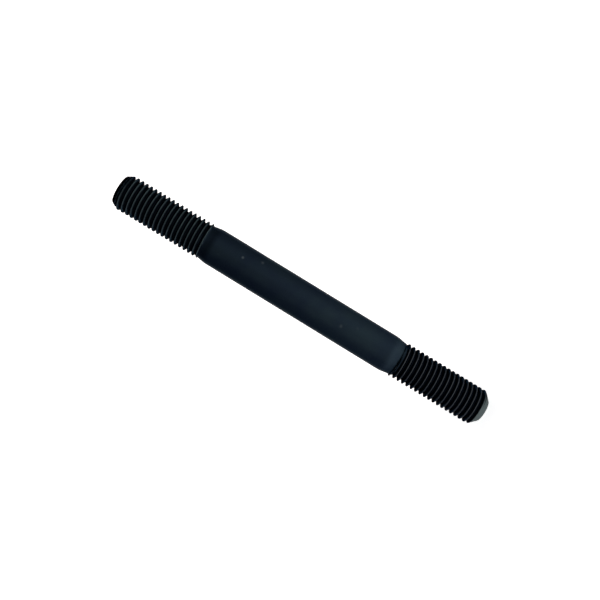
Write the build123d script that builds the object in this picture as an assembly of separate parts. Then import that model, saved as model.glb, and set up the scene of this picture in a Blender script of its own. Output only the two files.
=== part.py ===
# Double ended stud: one bar of blackened steel with a right-hand thread on each end.
# It stands on its lower end. The origin is the middle of the lower end face and +Z is the stud's axis.
from build123d import *
from math import ceil, radians, tan
import os

# Whole bar
overall_length = 209.55
shank_diameter = 19.05

# Thread: ten turns to the inch, a plain V over crests a little smaller than the shank
thread_diameter = 18.92
pitch = 2.54
thread_depth = 1.45

# Each thread, from its end face to where its last groove has run out
lower_thread_length = 49.6
upper_thread_length = 49.4

# Each thread, from its end face to where its crests start to sink
lower_full_length = 48.8
upper_full_length = 49.3

# Angle round the stud, from +X towards +Y, at which each thread has a crest in its end face's plane
lower_thread_turn = 133.0
upper_thread_turn = 6.0

# The chamfer leaves this much of each end flat. Its angle is to the stud's axis.
lower_end_face_diameter = 11.6
upper_end_face_diameter = 15.0
lower_chamfer_angle = 45.0
upper_chamfer_angle = 30.0

# The bar was chamfered before it was threaded, so the grooves leave the chamfer plain up to this diameter
plain_chamfer_diameter = 17.2
groove_start_angle = 45.0

# Run-out: the crests sink and the grooves rise along cones until both reach the neck
crest_runout_angle = 45.0
groove_runout_angle = 15.0

# Neck, at about the diameter that the thread was rolled on
neck_diameter = 17.6
neck_length = 0.4

# Cone between the neck and the shank, blended into the shank by a large arc
taper_angle = 10.0
taper_blend_radius = 15.0

# Arcs that each turn of a thread is built from
arcs_per_turn = 3

# Sizes that follow
shank_radius = shank_diameter / 2
thread_radius = thread_diameter / 2
root_radius = thread_radius - thread_depth
neck_radius = neck_diameter / 2
buried_radius = root_radius - thread_depth
taper_length = abs(shank_radius - neck_radius) / tan(radians(taper_angle))


def turned(*outline):
    """The solid that a half outline, given as radius and height, sweeps when it is turned about +Z."""
    return revolve(Plane.XZ * make_face(Polyline(*outline, close=True)), Axis.Z)


def helix_arc(radius, angle, height):
    """One arc of a right-hand helix, as the cubic curve that starts and ends along the helix."""
    sweep = 360 / arcs_per_turn
    handle = 4 / 3 * tan(radians(sweep) / 4) * radius
    climb = pitch * sweep / 360
    start = Vector(radius, 0, height)
    leaving = Vector(0, handle, climb / 3)
    end = Vector(radius, 0, 0).rotate(Axis.Z, sweep) + Vector(0, 0, height + climb)
    arriving = leaving.rotate(Axis.Z, sweep)
    arc = Edge.make_bezier(start, start + leaving, end - arriving, end)
    return Pos(0, 0, pitch * angle / 360) * Rot(0, 0, angle) * arc


def threaded_bar(turns):
    """A bar with a whole number of thread turns, which begin and end with a crest on +X.

    Its skin is the two flanks of the V, arc by arc. A ramp and an upright wall close each end.
    """
    section = [(root_radius, -pitch / 2), (thread_radius, 0), (root_radius, pitch / 2)]
    faces = []
    for step in range(turns * arcs_per_turn):
        angle = step * 360 / arcs_per_turn
        root, crest, next_root = [helix_arc(radius, angle, height) for radius, height in section]
        faces.append(Face.make_surface_from_curves(root, crest))
        faces.append(Face.make_surface_from_curves(crest, next_root))
    for first_turn, height in ((0, -pitch / 2), (turns - 1, pitch / 2)):
        for step in range(arcs_per_turn):
            rim = helix_arc(root_radius, 360 * (first_turn + step / arcs_per_turn), height)
            middle = Edge.make_line((0, 0, (rim @ 0).Z), (0, 0, (rim @ 1).Z))
            faces.append(Face.make_surface_from_curves(middle, rim))
    for turn in (0, turns):
        wall = [(0, -pitch / 2)] + section + [(0, pitch / 2)]
        corners = [Vector(radius, 0, height + turn * pitch) for radius, height in wall]
        faces.append(Face(Wire.make_polygon(corners, close=True)))
    return Solid(Shell(faces))


def threaded_end(end_face_diameter, chamfer_angle, full_length, thread_turn):
    """A threaded end that stands on the ground, with its crests sinking into the core at its inner end."""
    face_radius = end_face_diameter / 2
    clear_radius = thread_radius + thread_depth
    plain_radius = plain_chamfer_diameter / 2
    chamfer_slope = tan(radians(chamfer_angle))
    chamfer_height = (clear_radius - face_radius) / chamfer_slope
    plain_height = (plain_radius - face_radius) / chamfer_slope
    groove_start = (plain_radius - buried_radius) / tan(radians(groove_start_angle))
    sinking = tan(radians(crest_runout_angle))
    inner_end = full_length + (thread_radius - buried_radius) / sinking
    envelope = turned(
        (0, 0),
        (face_radius, 0),
        (clear_radius, chamfer_height),
        (clear_radius, full_length - (clear_radius - thread_radius) / sinking),
        (buried_radius, inner_end),
        (0, inner_end),
    )
    plain_start = turned(
        (0, -pitch),
        (plain_radius, -pitch),
        (plain_radius, plain_height),
        (buried_radius, plain_height + groove_start),
        (0, plain_height + groove_start),
    )
    whole_turns_below = 2
    turns = ceil(inner_end / pitch) + 2 * whole_turns_below
    bar = Pos(0, 0, -whole_turns_below * pitch) * Rot(0, 0, thread_turn) * threaded_bar(turns)
    return (bar + plain_start) & envelope


def core():
    """Everything between the threads: the cones that end the grooves, the necks, the tapers and the shank."""
    groove_cone = (neck_radius - buried_radius) / tan(radians(groove_runout_angle))
    lower_shank_start = lower_thread_length + neck_length + taper_length
    upper_thread_end = overall_length - upper_thread_length
    upper_shank_end = upper_thread_end - neck_length - taper_length
    bar = turned(
        (0, lower_thread_length - groove_cone),
        (buried_radius, lower_thread_length - groove_cone),
        (neck_radius, lower_thread_length),
        (neck_radius, lower_thread_length + neck_length),
        (shank_radius, lower_shank_start),
        (shank_radius, upper_shank_end),
        (neck_radius, upper_thread_end - neck_length),
        (neck_radius, upper_thread_end),
        (buried_radius, upper_thread_end + groove_cone),
        (0, upper_thread_end + groove_cone),
    )
    half_taper = taper_length / 2
    around_shank = (lower_shank_start - half_taper, upper_shank_end + half_taper)
    shank_ends = bar.edges().filter_by(GeomType.CIRCLE).filter_by_position(Axis.Z, *around_shank)
    return fillet(shank_ends, taper_blend_radius)


def stud():
    """The whole stud, with its upper thread turned end over end so that it is right-handed too."""
    lower_end = threaded_end(
        lower_end_face_diameter, lower_chamfer_angle, lower_full_length, lower_thread_turn,
    )
    upper_end = threaded_end(
        upper_end_face_diameter, upper_chamfer_angle, upper_full_length, -upper_thread_turn,
    )
    upper_end = Pos(0, 0, overall_length) * Rot(180, 0, 0) * upper_end
    return core() + lower_end + upper_end


os.makedirs("parts", exist_ok=True)
whole = stud()
whole.label = "stud"
export_step(whole, "parts/stud.step")
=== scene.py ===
# A double ended stud of blackened steel on a white set, seen from its side.
from math import ceil, cos, pi, radians, sin, tan

import bmesh
import bpy
from mathutils import Matrix, Vector


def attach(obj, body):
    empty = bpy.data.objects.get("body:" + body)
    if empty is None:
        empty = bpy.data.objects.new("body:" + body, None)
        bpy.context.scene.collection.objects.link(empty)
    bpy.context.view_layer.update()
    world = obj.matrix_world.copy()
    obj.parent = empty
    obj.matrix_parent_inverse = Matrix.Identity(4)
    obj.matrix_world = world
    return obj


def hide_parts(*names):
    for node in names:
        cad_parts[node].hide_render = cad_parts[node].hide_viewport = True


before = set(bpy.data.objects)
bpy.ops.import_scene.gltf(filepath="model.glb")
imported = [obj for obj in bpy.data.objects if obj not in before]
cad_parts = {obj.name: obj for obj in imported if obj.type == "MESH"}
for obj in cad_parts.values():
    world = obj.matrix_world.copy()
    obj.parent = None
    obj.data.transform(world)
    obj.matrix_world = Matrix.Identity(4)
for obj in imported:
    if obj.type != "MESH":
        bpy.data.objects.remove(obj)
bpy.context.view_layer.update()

# The stud is one bar of alloy steel, with a plain shank and a rolled right-hand thread on each end.
# The crests are flat and the roots are rounded. A lathe faced and chamfered both ends.
# Sizes are in millimetres and angles in degrees, and the mesh is made metres at the end.
mm = 0.001
overall_length = 209.55
shank_diameter = 19.05
thread_diameter = 18.92
pitch = 2.54
thread_depth = 1.51
flank_angle = 30.0
crest_flat = 0.38
lower_thread_length = 49.6
upper_thread_length = 49.4
lower_full_length = 48.8
upper_full_length = 49.3
lower_thread_turn = 133.0
upper_thread_turn = 6.0
lower_end_face_diameter = 11.6
upper_end_face_diameter = 15.0
lower_chamfer_angle = 45.0
upper_chamfer_angle = 30.0
plain_chamfer_diameter = 17.2
groove_start_angle = 45.0
crest_runout_angle = 45.0
groove_runout_angle = 15.0
neck_diameter = 17.6
neck_length = 0.4
taper_angle = 10.0
taper_blend_radius = 15.0
crest_edge_break = 0.12
root_corner_cut = 0.14

# How finely the curves are cut, and the angle past which an edge stays sharp
steps_round = 96
corner_segments = 2
blend_segments = 6
flank_cuts = 4
sharp_edge_angle = 25
tolerance = 0.001
merge_distance = 0.01

thread_radius = thread_diameter / 2
root_radius = thread_radius - thread_depth
neck_radius = neck_diameter / 2
shank_radius = shank_diameter / 2
half_crest = crest_flat / 2
half_base = half_crest + thread_depth * tan(radians(flank_angle))

# A threaded end stops a third of the way up its neck and the shank starts at two thirds
neck_third = neck_length / 3


def wire(bm, points):
    """A row of vertices joined by edges in the XZ plane, from radius and height."""
    verts = [bm.verts.new((radius, 0, height)) for radius, height in points]
    for pair in zip(verts, verts[1:]):
        bm.edges.new(pair)
    return verts


def threaded_end(end_face_diameter, chamfer_angle, full_length, thread_length, thread_turn):
    """One threaded end that stands on its end face. It stops part way up the neck."""
    end = bmesh.new()
    first_crest = -pitch * (1 + thread_turn % 360 / 360)
    tooth = [
        (root_radius, first_crest - pitch / 2),
        (root_radius, first_crest - half_base),
        (thread_radius, first_crest - half_crest),
        (thread_radius, first_crest + half_crest),
        (root_radius, first_crest + half_base),
        (root_radius, first_crest + pitch / 2),
    ]
    wire(end, tooth)
    for level, cut in ((root_radius, root_corner_cut), (thread_radius, crest_edge_break)):
        corners = [v for v in end.verts if abs(v.co.x - level) < tolerance and len(v.link_edges) == 2]
        bmesh.ops.bevel(
            end, geom=corners, offset=cut, offset_type="OFFSET", segments=corner_segments,
            profile=0.5, affect="VERTICES", material=-1,
        )
    flanks = [e for e in end.edges if e.calc_length() > thread_depth / 2]
    bmesh.ops.subdivide_edges(end, edges=flanks, cuts=flank_cuts)
    neck_cut = thread_length + neck_third
    bmesh.ops.spin(
        end, geom=end.verts[:] + end.edges[:], cent=(0, 0, 0), axis=(0, 0, 1), dvec=(0, 0, pitch),
        angle=0, steps=ceil((neck_cut - first_crest) / pitch), use_duplicate=True,
    )
    bmesh.ops.remove_doubles(end, verts=end.verts, dist=merge_distance)
    bmesh.ops.spin(
        end, geom=end.verts[:] + end.edges[:], cent=(0, 0, 0), axis=(0, 0, 1),
        dvec=(0, 0, pitch / steps_round), angle=2 * pi, steps=steps_round,
    )
    bmesh.ops.remove_doubles(end, verts=end.verts, dist=merge_distance)
    face_radius = end_face_diameter / 2
    plain_radius = plain_chamfer_diameter / 2
    plain_height = (plain_radius - face_radius) / tan(radians(chamfer_angle))
    for vert in end.verts:
        height = vert.co.z
        radius = vert.co.xy.length
        chamfer = face_radius + height * tan(radians(chamfer_angle))
        past_plain = max(height - plain_height, 0)
        groove_start = plain_radius - past_plain * tan(radians(groove_start_angle))
        past_crests = max(height - full_length, 0)
        runout = thread_radius - past_crests * tan(radians(crest_runout_angle))
        before_neck = max(thread_length - height, 0)
        groove_end = neck_radius - before_neck * tan(radians(groove_runout_angle))
        floor = max(groove_end, min(groove_start, chamfer))
        vert.co.xy *= max(min(radius, chamfer, runout), floor) / radius
    for height, upwards in ((0, False), (neck_cut, True)):
        bmesh.ops.bisect_plane(
            end, geom=end.verts[:] + end.edges[:] + end.faces[:], dist=tolerance / 10,
            plane_co=(0, 0, height), plane_no=(0, 0, 1),
            clear_inner=not upwards, clear_outer=upwards,
        )
    rim = [e for e in end.edges if e.is_boundary and max(v.co.z for v in e.verts) < tolerance]
    bmesh.ops.edgeloop_fill(end, edges=rim)
    return end


def stud_mesh():
    """The whole stud in metres: the shank with its tapers and necks, and a threaded end on each side."""
    bm = bmesh.new()
    taper_length = (shank_radius - neck_radius) / tan(radians(taper_angle))
    lower_neck_end = lower_thread_length + neck_length
    upper_neck_end = overall_length - upper_thread_length - neck_length
    corners = wire(bm, [
        (neck_radius, lower_thread_length + 2 * neck_third),
        (neck_radius, lower_neck_end),
        (shank_radius, lower_neck_end + taper_length),
        (shank_radius, upper_neck_end - taper_length),
        (neck_radius, upper_neck_end),
        (neck_radius, overall_length - upper_thread_length - 2 * neck_third),
    ])
    blend = taper_blend_radius * tan(radians(taper_angle / 2))
    bmesh.ops.bevel(
        bm, geom=corners[2:4], offset=blend, offset_type="OFFSET", segments=blend_segments,
        profile=0.5, affect="VERTICES", material=-1,
    )
    bmesh.ops.spin(
        bm, geom=bm.verts[:] + bm.edges[:], cent=(0, 0, 0), axis=(0, 0, 1),
        dvec=(0, 0, 0), angle=2 * pi, steps=steps_round, use_merge=True,
    )
    lower = threaded_end(
        lower_end_face_diameter, lower_chamfer_angle, lower_full_length,
        lower_thread_length, lower_thread_turn,
    )
    upper = threaded_end(
        upper_end_face_diameter, upper_chamfer_angle, upper_full_length,
        upper_thread_length, -upper_thread_turn,
    )
    end_over_end = Matrix.Translation((0, 0, overall_length)) @ Matrix.Rotation(pi, 4, "X")
    bmesh.ops.transform(upper, matrix=end_over_end, verts=upper.verts)
    for end in (lower, upper):
        loose = bpy.data.meshes.new("threaded_end")
        end.to_mesh(loose)
        end.free()
        bm.from_mesh(loose)
        bpy.data.meshes.remove(loose)
    for half in (-1, 1):
        rims = [
            e for e in bm.edges
            if e.is_boundary and (e.verts[0].co.z - overall_length / 2) * half > 0
        ]
        bmesh.ops.bridge_loops(bm, edges=rims)
    bmesh.ops.recalc_face_normals(bm, faces=bm.faces)
    for face in bm.faces:
        face.smooth = True
    for edge in bm.edges:
        edge.smooth = edge.calc_face_angle(0) < radians(sharp_edge_angle)
    bmesh.ops.scale(bm, vec=(mm, mm, mm), verts=bm.verts)
    mesh = bpy.data.meshes.new("black_steel_bar")
    bm.to_mesh(mesh)
    bm.free()
    return mesh


def linear(colour):
    """An sRGB hex colour such as 1f2a30 as the four linear numbers that a socket takes."""
    parts = [int(colour[i:i + 2], 16) / 255 for i in (0, 2, 4)]
    return [p / 12.92 if p <= 0.04045 else ((p + 0.055) / 1.055) ** 2.4 for p in parts] + [1]


def add(tree, kind, properties=(), inputs=()):
    """A new node in a tree. An input is given a number or colour, or is linked to a socket."""
    node = tree.nodes.new(kind)
    for name, value in dict(properties).items():
        setattr(node, name, value)
    for name, value in dict(inputs).items():
        if isinstance(value, bpy.types.NodeSocket):
            tree.links.new(value, node.inputs[name])
        else:
            node.inputs[name].default_value = value
    return node


# Black oxide on alloy steel: a hot salt bath turns the skin to a thin blue-black oxide, and oil darkens it.
# It keeps the steel's own satin gloss. The end faces are greyer. The crests are greyer, partly worn by
# rubbing and partly a painted highlight, and the lower chamfer is paler, partly lathe-cut steel and partly a
# painted highlight.
# Its grain is far finer than a pixel. Here it is 0.5 mm wide, and longer along the bar, so that it shows.
cloud_size = 14.0
grain_width = 0.5
grain_stretch = 0.3
grain_depth = 0.02

# How far below the crests' tops the grey of each thread's crests, partly wear and partly painted highlight,
# and the painted shade of its grooves reach
grey_crest_top = 0.04
lower_grey_depth = 0.16
upper_grey_depth = 0.34
groove_shade_top = 0.75
groove_shade_depth = 1.3

# A point this near to an end face or to the lower chamfer is on it, and one as far as the second value is off
on_surface = 0.02
past_surface = 0.1

black_oxide = bpy.data.materials.new("black_oxide_steel")
black_oxide.use_nodes = True
tree = black_oxide.node_tree
tree.nodes.clear()
place = add(tree, "ShaderNodeTexCoord").outputs["Object"]
height = add(tree, "ShaderNodeSeparateXYZ", inputs={"Vector": place}).outputs["Z"]
across = add(tree, "ShaderNodeVectorMath", {"operation": "MULTIPLY"}, {0: place, 1: (1, 1, 0)})
radius = add(tree, "ShaderNodeVectorMath", {"operation": "LENGTH"}, {
    0: across.outputs["Vector"],
}).outputs["Value"]
cloud = add(tree, "ShaderNodeTexNoise", inputs={
    "Vector": place, "Scale": 1 / (cloud_size * mm), "Detail": 3.0,
})
drawn_out = add(tree, "ShaderNodeVectorMath", {"operation": "MULTIPLY"}, {
    0: place, 1: (1, 1, grain_stretch),
})
grain = add(tree, "ShaderNodeTexNoise", inputs={
    "Vector": drawn_out.outputs["Vector"], "Scale": 1 / (grain_width * mm), "Detail": 2.0,
})

skin = add(tree, "ShaderNodeMix", {"data_type": "RGBA"}, {
    "Factor": add(tree, "ShaderNodeMapRange", inputs={
        "Value": cloud.outputs["Fac"], "From Min": 0.35, "From Max": 0.65,
    }).outputs["Result"],
    6: linear("212c39"),
    7: linear("27343c"),
})

below_shank = add(tree, "ShaderNodeMath", {"operation": "LESS_THAN"}, {
    0: height, 1: lower_thread_length * mm,
}).outputs["Value"]
above_shank = add(tree, "ShaderNodeMath", {"operation": "GREATER_THAN"}, {
    0: height, 1: (overall_length - upper_thread_length) * mm,
}).outputs["Value"]
on_thread = add(tree, "ShaderNodeMath", {"operation": "ADD"}, {
    0: below_shank, 1: above_shank,
}).outputs["Value"]
grey_from = add(tree, "ShaderNodeMix", {"data_type": "FLOAT"}, {
    "Factor": above_shank,
    2: (thread_radius - lower_grey_depth) * mm,
    3: (thread_radius - upper_grey_depth) * mm,
}).outputs[0]
crest_top = add(tree, "ShaderNodeMapRange", inputs={
    "Value": radius, "From Min": grey_from, "From Max": (thread_radius - grey_crest_top) * mm,
}).outputs["Result"]
# The crests are painted paler: partly worn steel and partly a painted highlight, set apart for each thread.
rubbed_and_highlit = add(tree, "ShaderNodeMath", {"operation": "MULTIPLY"}, {
    0: crest_top, 1: on_thread,
}).outputs["Value"]
bare_and_highlit = add(tree, "ShaderNodeMix", {"data_type": "RGBA"}, {
    "Factor": above_shank, 6: linear("4b4f54"), 7: linear("3c494d"),
})
skin = add(tree, "ShaderNodeMix", {"data_type": "RGBA"}, {
    "Factor": rubbed_and_highlit, 6: skin.outputs[2], 7: bare_and_highlit.outputs[2],
})
# Painted shade: the grooves are painted near black, darker the deeper they go.
deep_groove_shade = add(tree, "ShaderNodeMapRange", inputs={
    "Value": radius,
    "From Min": (thread_radius - groove_shade_depth) * mm, "From Max": (thread_radius - groove_shade_top) * mm,
    "To Min": 1.0, "To Max": 0.0,
}).outputs["Result"]
painted_groove_shade = add(tree, "ShaderNodeMath", {"operation": "MULTIPLY"}, {
    0: deep_groove_shade, 1: on_thread,
}).outputs["Value"]
skin = add(tree, "ShaderNodeMix", {"data_type": "RGBA"}, {
    "Factor": painted_groove_shade, 6: skin.outputs[2], 7: linear("0f151f"),
})

# Both end faces are grey. The lower one and its chamfer are paler still, partly lathe-cut steel and partly a
# painted highlight where light falls on the lower end.
from_top = add(tree, "ShaderNodeMath", {"operation": "SUBTRACT"}, {0: overall_length * mm, 1: height})
from_end = add(tree, "ShaderNodeMath", {"operation": "MINIMUM"}, {0: height, 1: from_top.outputs["Value"]})
on_face = add(tree, "ShaderNodeMath", {"operation": "LESS_THAN"}, {
    0: from_end.outputs["Value"], 1: on_surface * mm,
})
skin = add(tree, "ShaderNodeMix", {"data_type": "RGBA"}, {
    "Factor": on_face.outputs["Value"], 6: skin.outputs[2], 7: linear("3d474b"),
})
lower_cone = add(tree, "ShaderNodeMath", {"operation": "SUBTRACT"}, {
    0: add(tree, "ShaderNodeMath", {"operation": "ADD"}, {
        0: height, 1: lower_end_face_diameter / 2 * mm,
    }).outputs["Value"],
    1: radius,
}).outputs["Value"]
below_surface = add(tree, "ShaderNodeMath", {"operation": "MINIMUM"}, {0: lower_cone, 1: height})
lower_turned_and_lit = add(tree, "ShaderNodeMapRange", inputs={
    "Value": below_surface.outputs["Value"],
    "From Min": on_surface * mm, "From Max": past_surface * mm, "To Min": 1.0, "To Max": 0.0,
}).outputs["Result"]
skin = add(tree, "ShaderNodeMix", {"data_type": "RGBA"}, {
    "Factor": lower_turned_and_lit, 6: skin.outputs[2], 7: linear("5b6465"),
})

# Small pale specks on the shank, each at a place in millimetres with its radius and how pale it is
for centre, size, paleness in (
    ((2.77, -9.11, 139.75), 0.9, 0.23),
    ((5.66, -7.66, 130.35), 1.1, 0.125),
    ((-0.81, -9.49, 82.04), 1.15, 0.08),
    ((2.43, -9.21, 74.6), 1.1, 0.022),
):
    away = add(tree, "ShaderNodeVectorMath", {"operation": "DISTANCE"}, {
        0: place, 1: [c * mm for c in centre],
    })
    speck = add(tree, "ShaderNodeMapRange", inputs={
        "Value": away.outputs["Value"], "From Min": 0.0, "From Max": size * mm,
        "To Min": paleness, "To Max": 0.0,
    })
    skin = add(tree, "ShaderNodeMix", {"data_type": "RGBA"}, {
        "Factor": speck.outputs["Result"], 6: skin.outputs[2], 7: linear("a9b2b4"),
    })

smoothest = 0.34
roughest = 0.48
rough = add(tree, "ShaderNodeMapRange", inputs={
    "Value": grain.outputs["Fac"], "To Min": smoothest, "To Max": roughest,
})

# The lathe tool leaves rings on the end faces, really about 0.15 mm apart and here 0.6 mm so that they show.
# The texture's wave runs through 20 radians in one unit.
ring_spacing = 0.6
ring_depth = 0.03
wave_radians = 20
rings = add(tree, "ShaderNodeTexWave", {"wave_type": "RINGS", "rings_direction": "Z"}, {
    "Vector": place, "Scale": 2 * pi / (wave_radians * ring_spacing * mm), "Distortion": 0.0,
})
tool_marks = add(tree, "ShaderNodeBump", inputs={
    "Height": rings.outputs["Fac"], "Distance": ring_depth * mm,
    "Strength": on_face.outputs["Value"],
})
bump = add(tree, "ShaderNodeBump", inputs={
    "Height": grain.outputs["Fac"], "Strength": 0.4, "Distance": grain_depth * mm,
    "Normal": tool_marks.outputs["Normal"],
})

# Oil stays in the threads when the bar is wiped, so they shine less at a slant than the shank does
shank_slant_tint = (0.48, 0.48, 0.48, 1.0)
thread_slant_tint = (0.25, 0.25, 0.25, 1.0)
oily = add(tree, "ShaderNodeMath", {"operation": "SUBTRACT", "use_clamp": True}, {
    0: on_thread, 1: lower_turned_and_lit,
}).outputs["Value"]
slant_tint = add(tree, "ShaderNodeMix", {"data_type": "RGBA"}, {
    "Factor": oily, 6: shank_slant_tint, 7: thread_slant_tint,
})
steel = add(tree, "ShaderNodeBsdfPrincipled", inputs={
    "Base Color": skin.outputs[2],
    "Metallic": 1.0,
    "Specular Tint": slant_tint.outputs[2],
    "Roughness": rough.outputs["Result"],
    "Normal": bump.outputs["Normal"],
})
add(tree, "ShaderNodeOutputMaterial", inputs={"Surface": steel.outputs["BSDF"]})

stud = bpy.data.objects.new("blackened_stud", stud_mesh())
stud.data.materials.append(black_oxide)
bpy.context.collection.objects.link(stud)
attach(stud, "root")
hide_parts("stud")

# The set is a round white table top under the stud and a white paper wall behind it.
# Both look plain white to the camera and in the steel, and the table still takes the stud's shadow.
# Sizes from here to the camera are in metres.
paper_glow = 0.93
table_radius = 0.09
table_corners = 96
table_drop = 0.0001
wall_half_width = 0.6
wall_place = (0, 0.5, 0.1)

paper = bpy.data.materials.new("white_paper")
paper.use_nodes = True
tree = paper.node_tree
tree.nodes.clear()
path = add(tree, "ShaderNodeLightPath")
seen = add(tree, "ShaderNodeMath", {"operation": "MAXIMUM"}, {
    0: path.outputs["Is Camera Ray"],
    1: add(tree, "ShaderNodeMath", {"operation": "MAXIMUM"}, {
        0: path.outputs["Is Glossy Ray"], 1: path.outputs["Is Transmission Ray"],
    }).outputs["Value"],
}).outputs["Value"]
glow = add(tree, "ShaderNodeEmission", inputs={
    "Color": linear("ffffff"),
    "Strength": add(tree, "ShaderNodeMath", {"operation": "MULTIPLY"}, {
        0: seen, 1: paper_glow,
    }).outputs["Value"],
})
matt = add(tree, "ShaderNodeBsdfDiffuse", inputs={"Color": linear("e6e6e6")})
both = add(tree, "ShaderNodeAddShader", inputs={0: glow.outputs["Emission"], 1: matt.outputs["BSDF"]})
add(tree, "ShaderNodeOutputMaterial", inputs={"Surface": both.outputs["Shader"]})

table = bmesh.new()
bmesh.ops.create_circle(table, cap_ends=True, segments=table_corners, radius=table_radius)
bmesh.ops.translate(table, vec=(0, 0, -table_drop), verts=table.verts)
wall = bmesh.new()
bmesh.ops.create_grid(wall, x_segments=1, y_segments=1, size=wall_half_width)
bmesh.ops.rotate(wall, cent=(0, 0, 0), matrix=Matrix.Rotation(pi / 2, 3, "X"), verts=wall.verts)
bmesh.ops.translate(wall, vec=wall_place, verts=wall.verts)
for name, shape in (("table_top", table), ("paper_wall", wall)):
    mesh = bpy.data.meshes.new(name)
    shape.to_mesh(mesh)
    shape.free()
    mesh.materials.append(paper)
    sheet = bpy.data.objects.new(name, mesh)
    bpy.context.collection.objects.link(sheet)

# The room is dim and blue-grey, paler beside the camera, behind the stud and in a patch overhead.
# It gets brighter towards the floor, which is lit warm, so the tapers and the lower chamfer stand out.
# Where the camera looks past the set it is plain white. One large soft lamp stands beside the camera.
# The limits of each part of it are heights or cosines of the direction, from -1 to 1.
pale_side = (0.62, -0.76, -0.2)
pale_overhead = (0, 0.5, 0.866)
paleness_behind = 0.9
wall_light_low = 1.6
wall_light_high = 0.03
floor_light_low = 1.7

world = bpy.data.worlds.new("studio")
bpy.context.scene.world = world
world.use_nodes = True
tree = world.node_tree
tree.nodes.clear()
path = add(tree, "ShaderNodeLightPath")
towards = add(tree, "ShaderNodeTexCoord").outputs["Generated"]
compass = add(tree, "ShaderNodeSeparateXYZ", inputs={"Vector": towards})
beside_camera = add(tree, "ShaderNodeVectorMath", {"operation": "DOT_PRODUCT"}, {
    0: towards, 1: pale_side,
}).outputs["Value"]
side = add(tree, "ShaderNodeMapRange", {"interpolation_type": "SMOOTHSTEP"}, {
    "Value": beside_camera, "From Min": -0.05, "From Max": 0.36,
}).outputs["Result"]
behind = add(tree, "ShaderNodeMapRange", {"interpolation_type": "SMOOTHSTEP"}, {
    "Value": compass.outputs["Y"], "From Min": 0.4, "From Max": 0.75,
    "To Min": 0.0, "To Max": paleness_behind,
}).outputs["Result"]
overhead = add(tree, "ShaderNodeVectorMath", {"operation": "DOT_PRODUCT"}, {
    0: towards, 1: pale_overhead,
}).outputs["Value"]
from_above = add(tree, "ShaderNodeMapRange", {"interpolation_type": "SMOOTHSTEP"}, {
    "Value": overhead, "From Min": 0.86, "From Max": 0.96,
}).outputs["Result"]
lit = side
for patch in (behind, from_above):
    lit = add(tree, "ShaderNodeMath", {"operation": "MAXIMUM"}, {0: lit, 1: patch}).outputs["Value"]
walls = add(tree, "ShaderNodeMix", {"data_type": "RGBA"}, {
    "Factor": lit, 6: linear("75839c"), 7: linear("c2c7cc"),
})
wall_light = add(tree, "ShaderNodeMapRange", inputs={
    "Value": compass.outputs["Z"], "From Min": -0.6, "From Max": 0.41,
    "To Min": wall_light_low, "To Max": wall_light_high,
}).outputs["Result"]
floor_light = add(tree, "ShaderNodeMapRange", {"interpolation_type": "SMOOTHSTEP"}, {
    "Value": compass.outputs["Z"], "From Min": -0.56, "From Max": -0.27,
    "To Min": floor_light_low, "To Max": 0.0,
}).outputs["Result"]
strength = add(tree, "ShaderNodeMath", {"operation": "ADD"}, {0: wall_light, 1: from_above})
room = add(tree, "ShaderNodeAddShader", inputs={
    0: add(tree, "ShaderNodeBackground", inputs={
        "Color": walls.outputs[2], "Strength": strength.outputs["Value"],
    }).outputs["Background"],
    1: add(tree, "ShaderNodeBackground", inputs={
        "Color": linear("ffe6d2"), "Strength": floor_light,
    }).outputs["Background"],
})
white = add(tree, "ShaderNodeBackground", inputs={"Color": linear("ffffff"), "Strength": 1.0})
mixed = add(tree, "ShaderNodeMixShader", inputs={
    "Fac": path.outputs["Is Camera Ray"], 1: room.outputs["Shader"], 2: white.outputs["Background"],
})
add(tree, "ShaderNodeOutputWorld", inputs={"Surface": mixed.outputs["Shader"]})


def lamp(name, power, size, place, aim):
    """A square area lamp at one point that faces another."""
    data = bpy.data.lights.new(name, "AREA")
    data.energy = power
    data.size = size
    holder = bpy.data.objects.new(name, data)
    holder.location = place
    holder.rotation_euler = (Vector(aim) - Vector(place)).to_track_quat("-Z", "Y").to_euler()
    holder.visible_camera = False
    bpy.context.collection.objects.link(holder)


lamp("key_lamp", power=0.4, size=0.9, place=(0.45, -0.6, 0.08), aim=(0, 0, 0.08))

# The camera looks straight at the stud from in front, rolled so that the stud lies across the picture.
# It stands a little above the stud's middle, so the middle of the picture is moved off its line of sight.
# Lengths are in millimetres, and the shifts are shares of the picture's width.
focal_pixels = 770.0
picture_pixels = 600.0
sensor_width = 36.0
distance = 381.0
aim_height = 112.16
axis_slope = radians(31.4807)
shift_right = 0.019
shift_up = -0.0129

forward = Vector((0, 1, 0))
up_the_stud = Vector((0, 0, 1))
beside = Vector((1, 0, 0))
right = beside * sin(axis_slope) - up_the_stud * cos(axis_slope)
up = beside * cos(axis_slope) + up_the_stud * sin(axis_slope)
camera_data = bpy.data.cameras.new("camera")
camera_data.sensor_width = sensor_width
camera_data.lens = focal_pixels / picture_pixels * sensor_width
camera_data.shift_x = shift_right
camera_data.shift_y = shift_up
camera_data.clip_start = 0.01
camera = bpy.data.objects.new("camera", camera_data)
camera.matrix_world = Matrix((right, up, -forward)).transposed().to_4x4()
camera.location = (Vector((0, 0, aim_height)) - forward * distance) * mm
bpy.context.collection.objects.link(camera)
bpy.context.scene.camera = camera
bpy.context.scene.view_settings.view_transform = "Standard"
